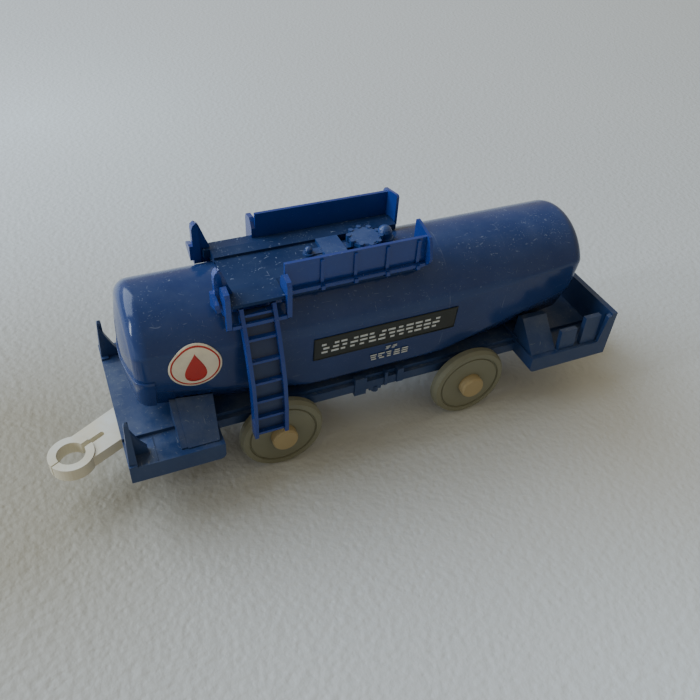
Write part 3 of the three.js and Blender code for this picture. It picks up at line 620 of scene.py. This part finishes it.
def finish_cad_node(name, bevel):
    """Joins flat faces, softens the edges and sets the material."""
    node = frame["nodes"][name]
    flatten = node.modifiers.new("flatten", "DECIMATE")
    flatten.decimate_type = "DISSOLVE"
    flatten.angle_limit = math.radians(FLAT_ANGLE)
    flatten.delimit = {"MATERIAL"}
    soften(node, bevel)
    smooth(node.data)
    for material_slot in node.material_slots:
        material_slot.material = MATERIALS[OWN_MATERIAL.get(name, SLOTS[name])]
    if name in ("near_ladder", "far_ladder"):
        colour_ladder_back(node)


# Floor, lights and camera, in metres.

FLOOR_HALF_SIZE = 3.0
# Each soft spot on the floor, the first two painted shadow and the last two painted light: place, radius,
# strength and colour.
FLOOR_PAINTED_SHADE_AND_LIGHT = (
    ((-0.085, 0.0, 0.0), 0.13, 0.9, (150, 144, 128)),
    ((0.055, -0.035, 0.0), 0.09, 0.4, (184, 178, 164)),
    ((-0.06, 0.18, 0.0), 0.15, 0.6, (222, 232, 240)),
    ((0.03, -0.1, 0.0), 0.06, 0.7, (218, 226, 232)),
)
LIGHT_TARGET = (0.0, 0.0, 0.03)
WORLD_COLOUR = (1.0, 0.9, 0.66, 1.0)
WORLD_STRENGTH = 0.43
CAMERA_PLACE = (-0.05694, -0.11464, 0.12862)
CAMERA_ANGLES = (48.1185, -3.0698, -23.0652)
CAMERA_LENS, CAMERA_SENSOR = 37.33, 36.0
CAMERA_NEAREST = 0.005


def floor_material():
    """Pale plastic with a fine pebbled grain, slow random changes of tone, and soft spots of painted shadow
    and painted light round the wagon.
    """
    n = Nodes("floor_plastic")
    tone = n.mix(n.remap(n.noise(3.0, 3.0), 0.3, 0.7), srgb(198, 203, 208), srgb(205, 209, 213))
    # Soft spots of painted shadow and painted light, laid over the floor's own tone.
    for place, radius, strength, colour in FLOOR_PAINTED_SHADE_AND_LIGHT:
        tone = n.mix(n.spot(place, radius, strength), tone, srgb(*colour))
    grain = n.bump(n.noise(620.0, 3.0, 0.5), 0.3, 0.0007)
    n.set_shader("Base Color", tone)
    n.set_shader("Roughness", 0.5)
    n.set_shader("Normal", n.bump(n.voronoi(760.0, "SMOOTH_F1"), 0.3, 0.0005, grain))
    return n.material


def build_floor():
    mesh = bpy.data.meshes.new("floor")
    size = FLOOR_HALF_SIZE
    corners = [(-size, -size, 0), (size, -size, 0), (size, size, 0), (-size, size, 0)]
    mesh.from_pydata(corners, [], [(0, 1, 2, 3)])
    mesh.materials.append(floor_material())
    floor = bpy.data.objects.new("floor", mesh)
    bpy.context.scene.collection.objects.link(floor)


def area_light(name, place, size, power, colour):
    """A flat light that points at the wagon."""
    data = bpy.data.lights.new(name, "AREA")
    data.shape = "RECTANGLE"
    data.size, data.size_y = size
    data.energy = power
    data.color = colour
    light = bpy.data.objects.new(name, data)
    light.location = place
    light.rotation_euler = (Vector(LIGHT_TARGET) - Vector(place)).to_track_quat("-Z", "Y").to_euler()
    bpy.context.scene.collection.objects.link(light)


def build_light():
    """A cool window at the left, behind the wagon, in a dim and warm room."""
    world = bpy.data.worlds.new("studio")
    world.use_nodes = True
    background = world.node_tree.nodes["Background"]
    background.inputs["Color"].default_value = WORLD_COLOUR
    background.inputs["Strength"].default_value = WORLD_STRENGTH
    bpy.context.scene.world = world
    area_light("sky", place=(-0.75, 0.7, 0.95), size=(1.3, 1.1), power=22.5, colour=(0.72, 0.85, 1.0))
    area_light("window", place=(-0.95, 0.02, 0.34), size=(0.1, 0.36), power=3.0, colour=(0.8, 0.9, 1.0))


def build_camera():
    data = bpy.data.cameras.new("camera")
    data.sensor_width = CAMERA_SENSOR
    data.lens = CAMERA_LENS
    data.clip_start = CAMERA_NEAREST
    camera = bpy.data.objects.new("camera", data)
    camera.location = CAMERA_PLACE
    camera.rotation_euler = [math.radians(angle) for angle in CAMERA_ANGLES]
    bpy.context.scene.collection.objects.link(camera)
    bpy.context.scene.camera = camera


build_tank()
for label_name, label_side in (("near", NEAR), ("far", FAR)):
    emblem(label_name, label_side)
    name_strip(label_name, label_side)
for node_name, edge_bevel in KEPT.items():
    finish_cad_node(node_name, edge_bevel)
build_floor()
build_light()
build_camera()
